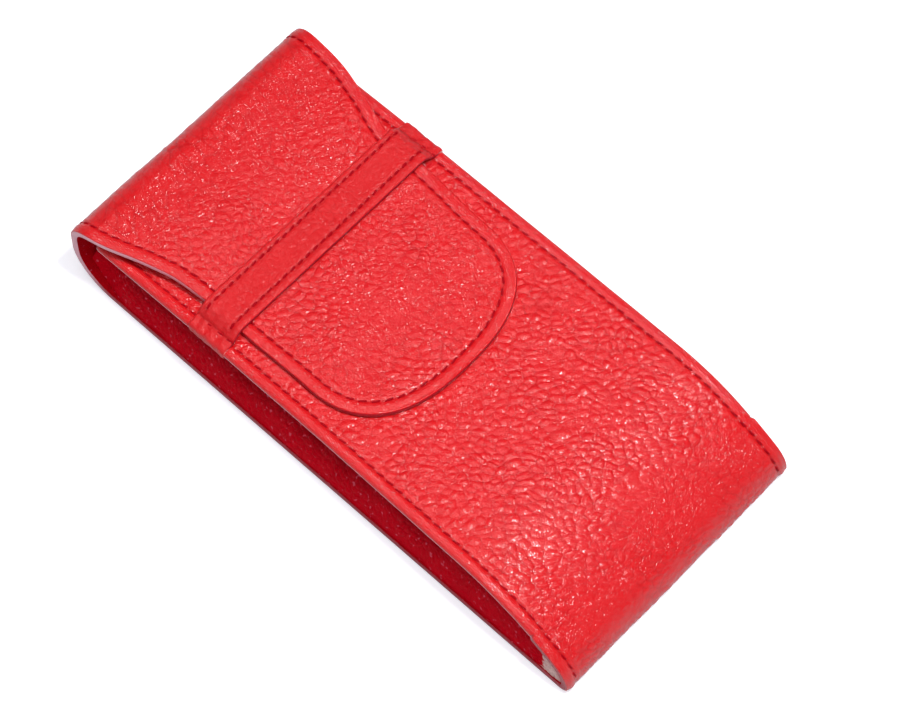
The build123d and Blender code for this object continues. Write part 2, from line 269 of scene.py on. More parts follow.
# Stations along the strip: the three hinge lines, the lines between them, heel, turn, roll and end
corner_run, corner_rise = on_arc(CORNER_R, 45)
high_run, high_rise = on_arc(LOW_R, 75)
low_run, low_rise = on_arc(LOW_R, 25)
S_H3 = strip.find(TOP - CORNER_R + corner_run, CROWN_Z - corner_rise)
S_H2 = strip.find(TOP - LOW_R + high_run, high_rise)
S_H1 = strip.find(TOP - LOW_R + low_run, low_rise)
S_HEEL = strip.find(BOTTOM + 4.0, 0.0)
S_TURN = strip.find(BOTTOM, 3.0)
S_ROLL = strip.find(BOTTOM + 10.4, 15.6)
S_END = strip.length
S_M3 = 0.5 * (S_H3 + S_H2)
S_M2 = 0.5 * (S_H2 + S_H1)


def rolled(s):
    """0 where the edge is cut, 1 where it is rolled."""
    return smooth(s, S_ROLL - 0.3, S_ROLL + 0.5)


def flap_half(s):
    """Half width of the strip: rounded tongue (a power curve), straight edges, S-shaped shoulders."""
    t = np.clip(1 - s / TONGUE_ROUND, 0, 1)
    tongue = TONGUE_HALF * (1 - t**TONGUE_POWER) ** (1 / TONGUE_POWER)
    tongue = tongue + TONGUE_SPREAD * smooth(s, TONGUE_ROUND, BAND_Y0 - TIP_Y)
    shoulder = smooth(s, S_H3 - 41.0, S_H3 - 1.0)
    return tongue + (HALF - TONGUE_HALF - TONGUE_SPREAD) * shoulder


def flap_shift(s):
    """The flap lies a little askew: its tongue to the left, its shoulders to the right."""
    y = s + TIP_Y
    return -0.9 * (1 - smooth(y, 0, 40)) + 1.1 * smooth(y, 40, 53) * (1 - smooth(y, 58, 74))


def wrap_half(s):
    """Half width behind the fold: cut edge, a small step where the roll ends, then a slow taper."""
    taper = 0.3 * smooth(s, S_HEEL, S_ROLL) + 0.25 * rolled(s)
    return HALF - taper - (HALF - FRONT_HALF - 0.55) * smooth(s, S_ROLL, S_ROLL + 80)


def front_shift(s):
    """The front panel leans to the left near the bottom."""
    return -0.4 * smooth(s, S_HEEL, S_ROLL) * (1 - smooth(s, S_ROLL, S_ROLL + 80))


def front_seam(s):
    """Distance of the front's seams from the middle."""
    return wrap_half(s) - 2.75


def no_shift(s):
    return np.zeros(np.shape(s))


# ------------------------------------------------------------------ mesh building
def build(name, verts, quads, uv=None, values=None, material=None, flip=False):
    """A smooth piece from points in mm, quads, flat coordinates and named values for the shader."""
    quads = np.asarray(quads, dtype=np.int32).reshape(-1, 4)
    if flip:
        quads = quads[:, ::-1]
    verts = np.asarray(verts, dtype=np.float64).reshape(-1, 3)
    mesh = bpy.data.meshes.new(name)
    mesh.vertices.add(len(verts))
    mesh.vertices.foreach_set("co", (verts * MM).ravel())
    mesh.loops.add(quads.size)
    mesh.loops.foreach_set("vertex_index", np.ascontiguousarray(quads).ravel())
    mesh.polygons.add(len(quads))
    mesh.polygons.foreach_set("loop_start", np.arange(0, quads.size, 4, dtype=np.int32))
    mesh.update(calc_edges=True)
    mesh.polygons.foreach_set("use_smooth", np.ones(len(quads), dtype=bool))
    if uv is not None:
        corners = np.asarray(uv, dtype=np.float64).reshape(-1, 2)[quads.ravel()]
        mesh.uv_layers.new(name="flat").data.foreach_set("uv", corners.ravel())
    for key, value in (values or {}).items():
        data = mesh.attributes.new(key, "FLOAT", "POINT").data
        data.foreach_set("value", np.asarray(value, dtype=np.float64).ravel())
    mesh.validate()
    piece = bpy.data.objects.new(name, mesh)
    bpy.context.scene.collection.objects.link(piece)
    if material:
        mesh.materials.append(material)
    return piece


def grid_quads(index, wrap=False):
    """Quads of a table of vertex numbers, wound so that column x row points outwards."""
    if wrap:
        index = np.concatenate([index, index[:, :1]], 1)
    a, b, c, d = index[:-1, :-1], index[:-1, 1:], index[1:, 1:], index[1:, :-1]
    return np.stack([a, b, c, d], -1).reshape(-1, 4)


def face_table(s, half_width, columns):
    """Leather coordinates of a face, a row for each station and columns from side to side."""
    return np.linspace(-1, 1, columns)[None, :] * half_width[:, None], np.repeat(s[:, None], columns, 1)


def to_uv(A, S):
    """Flat coordinates in decimetres, which the grain textures read."""
    return np.stack([A, S], -1) * MM * 10


def one_grid(shape):
    """Quads of a whole table of vertices, row after row."""
    return grid_quads(np.arange(shape[0] * shape[1]).reshape(shape))


def cut_edge(p, s):
    """The whole height of a cut edge counts as rim."""
    return np.full(np.shape(s), p)


def sheet(name, path, s, half, columns, relief, material, closed="none", edge=(CUT_BULGE, LAMINATE),
          rings=7, rim_of=cut_edge, shift=no_shift):
    """Outer face of a strip with its edges.
    Face: at(u * half(s), s, relief). Edge: out = b sin(pi p), down = d (1 - cos(pi p)) / 2, p in 0..1,
    laid along the rim, square to it in the plane of the leather.
    relief(a, s) gives height and a table of named values for the shader."""
    A, S = face_table(s, half(s), columns)
    bulge, depth = (f(S) if callable(f) else np.full(S.shape, f) for f in edge)
    height, values = relief(A, S)
    verts = path.at(A + shift(S), S, height)
    index = np.arange(A.size).reshape(A.shape)
    quads = [grid_quads(index)]
    flat = [np.stack([A, S], -1).reshape(-1, 2)]
    out = {k: [v.ravel()] for k, v in values.items()}
    out["rim"] = [np.zeros(A.size)]
    all_verts = [verts.reshape(-1, 3)]
    if closed == "start":
        rims = [np.concatenate([index[::-1, 0], index[0, 1:-1], index[:, -1]])]
    elif closed == "end":
        rims = [np.concatenate([index[:, -1], index[-1, -2:0:-1], index[::-1, 0]])]
    else:
        rims = [index[:, -1], index[::-1, 0]]
    total = A.size
    for rim in rims:
        a, ss = A.ravel()[rim], S.ravel()[rim]
        ta, ts = np.gradient(a), np.gradient(ss)
        n = np.hypot(ta, ts) + 1e-9
        way = (ts / n)[:, None] * path.across - (ta / n)[:, None] * path.tangent(ss)
        start = verts.reshape(-1, 3)[rim]
        b, d = bulge.ravel()[rim], depth.ravel()[rim]
        table = [rim]
        for k in range(1, rings + 1):
            p = k / rings
            ring = start + (b * np.sin(np.pi * p))[:, None] * way
            ring = ring - (d * (1 - np.cos(np.pi * p)) / 2)[:, None] * path.normal(ss)
            all_verts.append(ring)
            flat.append(np.stack([a + np.sign(a) * k * 0.3, ss], -1))
            for key in out:
                if key == "rim":
                    out[key].append(rim_of(p, ss))
                elif key == "pale":
                    out[key].append(values[key].ravel()[rim])
                else:
                    out[key].append(values[key].ravel()[rim] * (1 - p))
            table.append(total + np.arange(len(rim)))
            total += len(rim)
        quads.append(grid_quads(np.array(table).T))
    return build(
        name, np.concatenate(all_verts), np.concatenate(quads), np.concatenate(flat) * MM * 10,
        {k: np.concatenate(v) for k, v in out.items()}, material,
    )


# ------------------------------------------------------------------ seams
def seam_points(flat_line, pitch):
    """Evenly spaced stitch middles and directions along a line in leather coordinates."""
    length = np.r_[0, np.cumsum(np.hypot(*np.diff(flat_line, axis=0).T))]
    count = max(1, int(round(length[-1] / pitch)))
    place = (np.arange(count) + 0.5) * length[-1] / count
    mid = np.stack([np.interp(place, length, flat_line[:, k]) for k in (0, 1)], 1)
    ahead = np.stack([np.interp(place + 0.3, length, flat_line[:, k]) for k in (0, 1)], 1)
    back = np.stack([np.interp(place - 0.3, length, flat_line[:, k]) for k in (0, 1)], 1)
    way = ahead - back
    return mid, way / np.hypot(*way.T)[:, None], length[-1] / count


def inset_line(half, s, inset, round_start):
    """The rim of the strip drawn in by inset: left side, tip and right side."""
    w = half(s)
    right = np.stack([w, s], 1)
    full = np.concatenate([(right * [-1, 1])[::-1], right[1:] if round_start else right])
    t = np.gradient(full, axis=0)
    t /= np.hypot(*t.T)[:, None] + 1e-9
    return full + inset * np.stack([-t[:, 1], t[:, 0]], 1)


def rim_values(A, S, half):
    """Distance from the rim of the flap, in the plane of the leather: straight across on the sides, and
    (1 - r) / slope of r at the tip, where r = (q^2.5 + t^2.5)^(1/2.5) is 1 on the rim."""
    w = half(S)
    slope = (half(S + 0.2) - half(S - 0.2)) / 0.4
    side = (w - np.abs(A)) / np.sqrt(1 + slope**2)
    t = np.clip(1 - S / TONGUE_ROUND, 0, 1)
    q = np.clip(np.abs(A) / TONGUE_HALF, 0, 1)
    r = (q**TONGUE_POWER + t**TONGUE_POWER) ** (1 / TONGUE_POWER)
    tiny, power = 1e-6, TONGUE_POWER - 1
    across, along = (q + tiny) ** power / TONGUE_HALF, (t + tiny) ** power / TONGUE_ROUND
    tip = (1 - r) / (np.hypot(across, along) / (r + tiny) ** power)
    return np.where(S < TONGUE_ROUND, np.minimum(tip, 30.0), side)


def channel(distance, phase, depth=0.24, width=0.42):
    """Stitch channel, scalloped: deep under each stitch and shallow at the holes between, with low lips.
    -depth * k * bell(distance) and k = 0.3 + 0.7 |sin(pi phase)|^0.6, phase 0..1 along a stitch."""
    scallop = 0.3 + 0.7 * np.abs(np.sin(np.pi * phase)) ** 0.6
    lips = 0.05 * bell(np.abs(distance) - 1.15, 0.45)
    return -depth * scallop * bell(distance, width) + lips * scallop


def phase_near(A, S, near, mids, ways, pitch):
    """Phase of the nearest stitch for the points marked near, 0.5 elsewhere."""
    phase = np.full(A.shape, 0.5)
    if near.any() and len(mids):
        a, s = A[near], S[near]
        best = np.full(a.shape, 1e9)
        along = np.zeros(a.shape)
        for mid, way in zip(mids, ways):
            da, ds = a - mid[0], s - mid[1]
            gap = da * da + ds * ds
            closer = gap < best
            best = np.where(closer, gap, best)
            along = np.where(closer, da * way[0] + ds * way[1], along)
        phase[near] = np.clip(along / pitch + 0.5, 0, 1)
    return phase


def groove(distance, A, S, rows, depth=0.24, width=0.42):
    """Channel of one row of stitches, each point taking the phase of its nearest stitch."""
    mids, ways, pitch = rows
    phase = phase_near(A, S, np.abs(distance) < 1.8, mids, ways, pitch)
    return channel(distance, phase, depth, width)


def thread_mesh(name, path, rows, material, radius=0.22, lift=-0.03, share=0.72, shift=no_shift):
    """Stitches: for t in -1..1, centre height = lift - dive t^6, round section with two twisted
    strands, radius r (1 + 0.16 cos(2 (angle - twist t))), closed to a point at both ends."""
    n_t, n_r = 13, 8
    t = np.linspace(-1, 1, n_t)
    ang = np.linspace(0, 2 * np.pi, n_r, endpoint=False)
    T, R = np.meshgrid(t, ang, indexing="ij")
    twist, dive = 4.6, 0.22
    rad = radius * np.sqrt(np.clip(1 - T**6, 0.0004, 1)) * (1 + 0.16 * np.cos(2 * (R - twist * T)))
    lean = np.radians(9.0)
    verts, quads, total = [], [], 0
    for mids, ways, pitch in rows:
        if not len(mids):
            continue
        wx = (ways[:, 0] * np.cos(lean) - ways[:, 1] * np.sin(lean))[:, None, None]
        wy = (ways[:, 0] * np.sin(lean) + ways[:, 1] * np.cos(lean))[:, None, None]
        jig = rng.normal(0, 0.04, (len(mids), 3))[:, :, None, None]
        along = T[None] * 0.5 * pitch * share
        side = rad[None] * np.cos(R)[None]
        up = lift + 0.4 * jig[:, 2] + rad[None] * np.sin(R)[None] - dive * T[None] ** 6
        a = mids[:, 0, None, None] + along * wx - side * wy + jig[:, 0]
        s = mids[:, 1, None, None] + along * wy + side * wx + jig[:, 1]
        verts.append(path.at(a + shift(s), s, up).reshape(-1, 3))
        index = total + np.arange(len(mids) * n_t * n_r).reshape(len(mids), n_t, n_r)
        for table in index:
            quads.append(grid_quads(table, wrap=True))
        total += index.size
    return build(name, np.concatenate(verts), np.concatenate(quads), material=material, flip=True)


# ------------------------------------------------------------------ materials
def new_group(name, inputs, outputs):
    group = bpy.data.node_groups.new(name, "ShaderNodeTree")
    for label, kind, default in inputs:
        socket = group.interface.new_socket(label, in_out="INPUT", socket_type=kind)
        if default is not None:
            socket.default_value = default
    for label, kind in outputs:
        group.interface.new_socket(label, in_out="OUTPUT", socket_type=kind)
    return group, group.nodes.new("NodeGroupInput"), group.nodes.new("NodeGroupOutput")


def math_node(tree, operation, a, b=None, c=None):
    node = tree.nodes.new("ShaderNodeMath")
    node.operation = operation
    for socket, value in zip(node.inputs, (a, b, c)):
        if value is None:
            continue
        if isinstance(value, (int, float)):
            socket.default_value = value
        else:
            tree.links.new(value, socket)
    return node.outputs[0]


def ramp(tree, value, low, high):
    """0 at low, 1 at high, straight between."""
    node = tree.nodes.new("ShaderNodeMapRange")
    tree.links.new(value, node.inputs["Value"])
    for label, end in (("From Min", low), ("From Max", high)):
        if isinstance(end, (int, float)):
            node.inputs[label].default_value = end
        else:
            tree.links.new(end, node.inputs[label])
    return node.outputs[0]


def mix(tree, factor, a, b):
    node = tree.nodes.new("ShaderNodeMix")
    node.data_type = "RGBA"
    for label, value in (("Factor", factor), ("A", a), ("B", b)):
        if hasattr(value, "links"):
            tree.links.new(value, node.inputs[label])
        else:
            node.inputs[label].default_value = (*value, 1.0)
    return node.outputs["Result"]


FLOAT, COLOUR, VECTOR = "NodeSocketFloat", "NodeSocketColor", "NodeSocketVector"


def grain_group():
    """Fine grain in flat leather coordinates: a height from pores and noise, clouds of tone, and the spots
    for painted glints.
    """
    group, inp, out = new_group(
        "fine_grain", [("Vector", VECTOR, None), ("Scale", FLOAT, 1.0)],
        [("Height", FLOAT), ("Tone", FLOAT), ("Specks", FLOAT)],
    )
    links = group.links

    def texture(kind, scale, **settings):
        node = group.nodes.new(kind)
        for key, value in settings.items():
            if key in node.inputs:
                node.inputs[key].default_value = value
            else:
                setattr(node, key, value)
        links.new(inp.outputs["Vector"], node.inputs["Vector"])
        links.new(math_node(group, "MULTIPLY", inp.outputs["Scale"], scale), node.inputs["Scale"])
        return node

    pores = texture("ShaderNodeTexVoronoi", 190.0, feature="DISTANCE_TO_EDGE")
    fine = texture("ShaderNodeTexNoise", 420.0, Detail=3.0, Roughness=0.6)
    clouds = texture("ShaderNodeTexNoise", 14.0, Detail=2.0)
    glint_noise = texture("ShaderNodeTexNoise", 85.0, Detail=1.0)
    edge = ramp(group, pores.outputs["Distance"], 0.0, 0.16)
    links.new(math_node(group, "MULTIPLY_ADD", fine.outputs["Fac"], 0.5, edge), out.inputs["Height"])
    links.new(clouds.outputs["Fac"], out.inputs["Tone"])
    links.new(ramp(group, glint_noise.outputs["Fac"], 0.66, 0.72), out.inputs["Specks"])
    return group


def tone_shade_glint_group():
    """Tone, painted shade and painted glints: the colour sinks to the dark one in the creases as painted
    shade and in soft clouds of tone, with pale spots on top as painted glints.
    """
    group, inp, out = new_group(
        "leather_tone_shade_glint",
        [("Colour", COLOUR, None), ("Dark", COLOUR, None), ("Crease", FLOAT, 0.0), ("Tone", FLOAT, 0.0),
         ("Cloud Amount", FLOAT, 0.12), ("Specks", FLOAT, 0.0), ("Speck Amount", FLOAT, 0.0)],
        [("Colour", COLOUR)],
    )
    # painted glints: pale spots on the grain tops
    glint_colour = (0.85, 0.14, 0.22)
    dark = inp.outputs["Dark"]
    # painted shade: the colour sinks to the dark one in the creases
    deep = mix(group, ramp(group, inp.outputs["Crease"], 0.2, 1.15), inp.outputs["Colour"], dark)
    tone = ramp(group, inp.outputs["Tone"], 0.35, 0.7)
    cloud = math_node(group, "MULTIPLY", tone, inp.outputs["Cloud Amount"])
    glint_mix = math_node(group, "MULTIPLY", inp.outputs["Specks"], inp.outputs["Speck Amount"])
    group.links.new(mix(group, glint_mix, mix(group, cloud, deep, dark), glint_colour), out.inputs["Colour"])
    return group


def edge_group():
    """Cut edge: past Start on the rim the body gives way to the bare edge, painted where Pale says so."""
    group, inp, out = new_group(
        "painted_edge",
        [("Body", COLOUR, None), ("Bare", COLOUR, None), ("Paint", COLOUR, None), ("Rim", FLOAT, 0.0),
         ("Pale", FLOAT, 0.0), ("Start", FLOAT, 0.22)],
        [("Colour", COLOUR), ("Mask", FLOAT)],
    )
    full = math_node(group, "ADD", inp.outputs["Start"], 0.08)
    mask = ramp(group, inp.outputs["Rim"], inp.outputs["Start"], full)
    paint = mix(group, inp.outputs["Pale"], inp.outputs["Bare"], inp.outputs["Paint"])
    group.links.new(mix(group, mask, inp.outputs["Body"], paint), out.inputs["Colour"])
    group.links.new(mask, out.inputs["Mask"])
    return group


GRAIN, TONE_SHADE_GLINT, CUT = grain_group(), tone_shade_glint_group(), edge_group()
EDGE_ROUGH = 0.28
BUMP_DISTANCE = 0.0001  # metres
CLOUDS = 0.12  # how far the clouds of tone pull towards the dark colour


def place_group(tree, group, **values):
    """A group node with its sockets linked or set; _ in a keyword stands for a space."""
    node = tree.nodes.new("ShaderNodeGroup")
    node.node_tree = group
    for key, value in values.items():
        socket = node.inputs[key.replace("_", " ")]
        if hasattr(value, "links"):
            tree.links.new(value, socket)
        else:
            socket.default_value = (*value, 1.0) if isinstance(value, tuple) else value
    return node


def attribute(tree, name):
    node = tree.nodes.new("ShaderNodeAttribute")
    node.attribute_name = name
    return node.outputs["Fac"]


def leather_material(name, colour, dark, rough, bump, gloss, scale=1.0, painted=None, glint_specks=0.0):
    """Dyed leather with fine grain, shade painted into its creases and stitch channels, and painted glints
    as strong as glint_specks. painted gives the colour of a painted edge and where it starts.
    """
    material = bpy.data.materials.new(name)
    material.use_nodes = True
    tree = material.node_tree
    shader = tree.nodes["Principled BSDF"]
    flat = tree.nodes.new("ShaderNodeUVMap")
    flat.uv_map = "flat"
    grain = place_group(tree, GRAIN, Vector=flat.outputs[0], Scale=scale)
    # crease is a mask of painted shade, Tone gives clouds of tone, Specks gives painted glints
    tone_shade_glint_node = place_group(
        tree, TONE_SHADE_GLINT, Colour=colour, Dark=dark, Crease=attribute(tree, "crease"), Tone=grain.outputs["Tone"],
        Cloud_Amount=CLOUDS, Specks=grain.outputs["Specks"], Speck_Amount=glint_specks,
    )
    body = tone_shade_glint_node.outputs["Colour"]
    shader.inputs["Roughness"].default_value = rough
    if painted:
        paint, start = painted
        edge = place_group(
            tree, CUT, Body=body, Bare=EDGE_DARK, Paint=paint, Rim=attribute(tree, "rim"),
            Pale=attribute(tree, "pale"), Start=start,
        )
        body = edge.outputs["Colour"]
        rough_here = math_node(tree, "MULTIPLY_ADD", edge.outputs["Mask"], EDGE_ROUGH - rough, rough)
        tree.links.new(rough_here, shader.inputs["Roughness"])
    tree.links.new(body, shader.inputs["Base Color"])
    bump_node = tree.nodes.new("ShaderNodeBump")
    bump_node.inputs["Strength"].default_value = bump
    bump_node.inputs["Distance"].default_value = BUMP_DISTANCE
    tree.links.new(grain.outputs["Height"], bump_node.inputs["Height"])
    tree.links.new(bump_node.outputs[0], shader.inputs["Normal"])
    shader.inputs["Specular IOR Level"].default_value = gloss
    return material


# The dark reds are the colours of painted shade in creases, channels and the gusset's fold, and of the
# clouds of tone.
RED, DARK_RED_SHADE_TONE = (0.68, 0.010, 0.014), (0.45, 0.0, 0.003)
BAND_RED = (0.67, 0.010, 0.014)
LINING_RED, GUSSET_RED, DEEPEST_RED_SHADE_TONE = (0.56, 0.0, 0.007), (0.72, 0.0, 0.012), (0.2, 0.0, 0.004)
EDGE_DARK = (0.42, 0.012, 0.03)
PINK, BAND_PINK = (1.0, 0.52, 0.62), (0.8, 0.42, 0.4)
RAW = (0.94, 0.64, 0.60)
THREAD_AND_CHANNEL_SHADE = (0.36, 0.0, 0.007, 1)
FLOOR_GREY, FLOOR_GLOW = (0.66, 0.67, 0.70, 1), (0.93, 0.94, 1.0, 1)
SKY, SKY_STRENGTH = (0.95, 0.96, 1.0, 1), 0.085
PEBBLED = leather_material("pebbled_leather", RED, DARK_RED_SHADE_TONE, 0.17, 0.5, 0.5, painted=(PINK, 0.22))
BAND = leather_material("band_leather", BAND_RED, DARK_RED_SHADE_TONE, 0.34, 0.6, 0.38, 1.2, (BAND_PINK, 0.25))
LINING = leather_material("lining_leather", LINING_RED, DEEPEST_RED_SHADE_TONE, 0.4, 0.6, 0.04, glint_specks=0.6)
GUSSET = leather_material("gusset_leather", GUSSET_RED, DEEPEST_RED_SHADE_TONE, 0.3, 0.6, 0.04, glint_specks=0.7)


def thread_material():
    """Matt dark red thread, its darkness partly the shade of the stitch channel painted into its colour."""
    material = bpy.data.materials.new("thread")
    material.use_nodes = True
    shader = material.node_tree.nodes["Principled BSDF"]
    shader.inputs["Base Color"].default_value = THREAD_AND_CHANNEL_SHADE
    shader.inputs["Roughness"].default_value = 0.55
    shader.inputs["Specular IOR Level"].default_value = 0.08
    return material


THREAD = thread_material()


# ------------------------------------------------------------------ leather reliefs
def near_seam(distance):
    """How much of the pebble grain is left: none on the rim outside the seam, full inside."""
    return smooth(distance, SEAM_INSET - 0.2, SEAM_INSET + 1.6)


def fold_nearness(S):
    """1 in the fold, 0 away from it on either side."""
    return smooth(S, S_H3 - 26, S_H3 - 4) * (1 - smooth(S, S_H1 - 4, S_H1 + 10))


def turn_nearness(S):
    """1 round the bottom turn, where the leather is pulled smooth, 0 on the panels."""
    return smooth(S, S_HEEL - 6, S_HEEL) * (1 - smooth(S, S_TURN + 8, S_ROLL + 12))


def leather_grain(A, S, seed=3):
    """Grain over the whole strip; in the fold its cells are larger, lower and drawn out across the bend."""
    h, crease = pebbles(A, S, seed)
    bent, bent_crease = pebbles(A, S, seed + 20, (0.3, 0.95), 0.38, 3.3)
    t = fold_nearness(S)
    return h + (0.7 * bent - h) * t, crease + (1.15 * bent_crease - crease) * t


def flap_relief(rows):
    def relief(A, S):
        d = rim_values(A, S, flap_half)
        grain, crease = leather_grain(A, S)
        keep = 0.08 + 0.92 * near_seam(d)
        press = 0.68 - 0.3 * bell(S - (BAND_Y0 + BAND_Y1) / 2 + TIP_Y, 9.0)
        h = grain * keep * press + 0.15 * bell(d - 1.45, 0.95) + groove(d - SEAM_INSET, A, S, rows)
        h = h + 0.12 * noise(A, S, 24.0, 31) + 0.05 * noise(A, S, 8.0, 32)
        h = h * smooth(d, 0.0, 0.7)
        # painted shade along the stitch channel
        dark = 0.9 * bell(d - SEAM_INSET, 0.4)
        pale = 0.75 * smooth(S, BAND_Y1 - TIP_Y - 4, BAND_Y1 - TIP_Y + 6)
        return h, {"crease": np.clip(crease * keep + dark, 0, 1), "pale": pale + 0 * A}

    return relief


def side_relief(seam_of, half, rows, slack=1.0):
    def relief(A, S):
        d = half(S) - np.abs(A)
        g = np.abs(A) - seam_of(S)
        grain, crease = leather_grain(A, S)
        grain = grain * (1 - 0.4 * turn_nearness(S))
        keep = 0.08 + 0.92 * smooth(-g, -0.2, 1.5)
        h = grain * keep + 0.24 * bell(g - 1.35, 0.8) + seam_channel(A, S, g, rows)
        h = h + slack * (0.16 * noise(A, S, 26.0, 41) + 0.07 * noise(A, S, 9.0, 42))
        h = h * smooth(d, 0.0, 0.7)
        # painted shade along the stitch channel
        dark = 0.9 * bell(g, 0.4)
        pale = 0.75 - 0.75 * smooth(S, S_H1 - 6, S_H1 + 5)
        return h, {"crease": np.clip(crease * keep + dark, 0, 1), "pale": pale + 0 * A}

    return relief


def seam_channel(A, S, g, rows):
    """Channel of two straight rows of stitches; g is the distance outwards from the row."""
    h = np.zeros(A.shape)
    for side, (mids, ways, pitch) in zip((-1, 1), rows):
        phase = ((S - mids[0, 1]) / pitch + 0.5) % 1.0
        first, last = mids[0, 1], mids[-1, 1]
        inside = smooth(S, first - pitch, first) * (1 - smooth(S, last, last + pitch))
        h = h + np.where(A * side > 0, channel(g, phase) * np.maximum(inside, 0.5), 0)
    return h


def side_rows(x_of, s0, s1, pitch=PITCH):
    """Two rows along the sides between stations s0 and s1."""
    count = max(1, int(round((s1 - s0) / pitch)))
    s = s0 + (np.arange(count) + 0.5) * (s1 - s0) / count
    way = np.tile([0.0, 1.0], (count, 1))
    return [(np.stack([k * x_of(s), s], 1), way, (s1 - s0) / count) for k in (-1, 1)]


def back_seam(s):
    return np.full(np.shape(s), HALF - SEAM_INSET)


# ------------------------------------------------------------------ flap and fold
FLAP_COLUMNS, BACK_COLUMNS, FRONT_COLUMNS, LINING_COLUMNS = 232, 178, 226, 150
start_s = TONGUE_ROUND * np.linspace(0, 1, 70) ** 2.2
flap_s = np.concatenate([start_s, np.arange(TONGUE_ROUND + STEP, S_M3, STEP), [S_M3]])
seam_run = np.concatenate([start_s, np.arange(TONGUE_ROUND + 0.4, S_M3, 0.4)])
flap_rows = seam_points(inset_line(flap_half, seam_run, SEAM_INSET, True), PITCH)

flap = sheet(
    "flap_leather_face", strip, flap_s, flap_half, FLAP_COLUMNS, flap_relief(flap_rows), PEBBLED, "start",
    shift=flap_shift,
)
turn_rows = side_rows(back_seam, S_M3, S_M2)
turn_relief = side_relief(back_seam, flap_half, turn_rows, 0.6)
back_rows = side_rows(back_seam, S_M2, S_HEEL)
back_relief = side_relief(back_seam, flap_half, back_rows, 0.0)


def no_slack(relief):
    """Relief kept at or under the flat face, so that the back lies on its support."""

    def pressed(A, S):
        h, values = relief(A, S)
        under = smooth(S, S_H1 - 2, S_H1 + 8) * (1 - smooth(S, S_HEEL - 1, S_HEEL + 3))
        return h + under * (np.minimum(0.6 * h - 0.1, 0) - h), values

    return pressed


turn_s = np.linspace(S_M3, S_M2, int((S_M2 - S_M3) / STEP) + 2)
turn = sheet("fold_leather_face", strip, turn_s, flap_half, FLAP_COLUMNS, turn_relief, PEBBLED)
S_FLAT = S_H1 + 14.0  # from here the back is flat, and its points lie further apart
back_s = np.concatenate([
    np.arange(S_M2, S_FLAT, STEP), np.arange(S_FLAT, S_HEEL - 4, 0.8), np.linspace(S_HEEL - 4, S_HEEL, 10),
])
back = sheet("back_leather_face", strip, back_s, flap_half, BACK_COLUMNS, no_slack(back_relief), PEBBLED)

# ------------------------------------------------------------------ bottom turn and front
front_rows = side_rows(front_seam, S_TURN + 1.5, S_END - 0.6)
front_relief_base = side_relief(front_seam, wrap_half, front_rows, 1.0)


def front_relief(A, S):
    """The panel's relief, running out at the mouth over its row of stitches, flat under the heel."""
    h, values = front_relief_base(A, S)
    end = S_END - S
    h = h * smooth(end, 0.0, 0.6) - 0.3 * bell(end - SEAM_INSET, 0.5) * (np.abs(A) < front_seam(S))
    low = 1 - smooth(S, S_HEEL, S_HEEL + 4)
    h = h + low * (np.minimum(0.6 * h - 0.1, 0) - h)
    values["pale"] = rolled(S)
    return h, values


def roll_bulge(S):
    return CUT_BULGE + ROLL_BULGE * rolled(S)


def roll_half(S):
    return wrap_half(S) - roll_bulge(S) + CUT_BULGE


def roll_depth(S):
    return LAMINATE + ROLL_EXTRA * rolled(S)


def rolled_edge(p, s):
    """Before the roll the edge is cut; along the roll only a thin pale line of edge colour shows near its
    widest, which also stands for a painted highlight along the roll.
    """
    return p * (1 - rolled(s)) + rolled(s) * 0.4 * bell(p - 0.53, 0.06)


S_PARTING = S_ROLL + 12
turn_part = np.linspace(S_HEEL, S_PARTING, int((S_PARTING - S_HEEL) / 0.33))
front_part = np.linspace(S_PARTING, S_END, int((S_END - S_PARTING) / 0.35))
ROLL = (roll_bulge, roll_depth)
ROLL_RINGS = 16
bottom = sheet(
    "bottom_leather_face", strip, turn_part, roll_half, FRONT_COLUMNS, front_relief, PEBBLED, "none", ROLL,
    ROLL_RINGS, rolled_edge, front_shift,
)
front = sheet(
    "front_leather_face", strip, front_part, roll_half, FRONT_COLUMNS, front_relief, PEBBLED, "end", ROLL,
    ROLL_RINGS, rolled_edge, front_shift,
)


# ------------------------------------------------------------------ linings
def lining(name, s, half, shift=no_shift):
    """Inner face of the strip: at(u * half(s), s, -laminate - fine grain), the grain ending at the rim."""
    A, S = face_table(s, half(s), LINING_COLUMNS)
    fine = 0.25 * pebbles(A, S, 55, size=1.3)[0]
    edge = smooth(half(S) - np.abs(A), 0, 1.5)
    zero = {"crease": np.zeros(A.size), "rim": np.zeros(A.size)}
    verts = strip.at(A + shift(S), S, -LAMINATE - fine * edge)
    return build(name, verts, one_grid(A.shape), to_uv(A, S), zero, LINING, flip=True)


lining_flap = lining("flap_lining_face", flap_s[::2], flap_half, flap_shift)
lining_turn = lining("fold_lining_face", turn_s, flap_half)
lining_back = lining("back_lining_face", back_s[::2], flap_half)
wrap_s = np.concatenate([back_s[-6:-1], turn_part[::2], front_part[::2], [S_END]])
lining_wrap = lining("wrap_lining_face", wrap_s, roll_half, front_shift)

# ------------------------------------------------------------------ threads
def part_rows(rows, low, high):
    """The stitches of rows whose middles lie between two stations."""
    out = []
    for mids, ways, pitch in rows:
        keep = (mids[:, 1] > low) & (mids[:, 1] <= high)
        out.append((mids[keep], ways[keep], pitch))
    return out


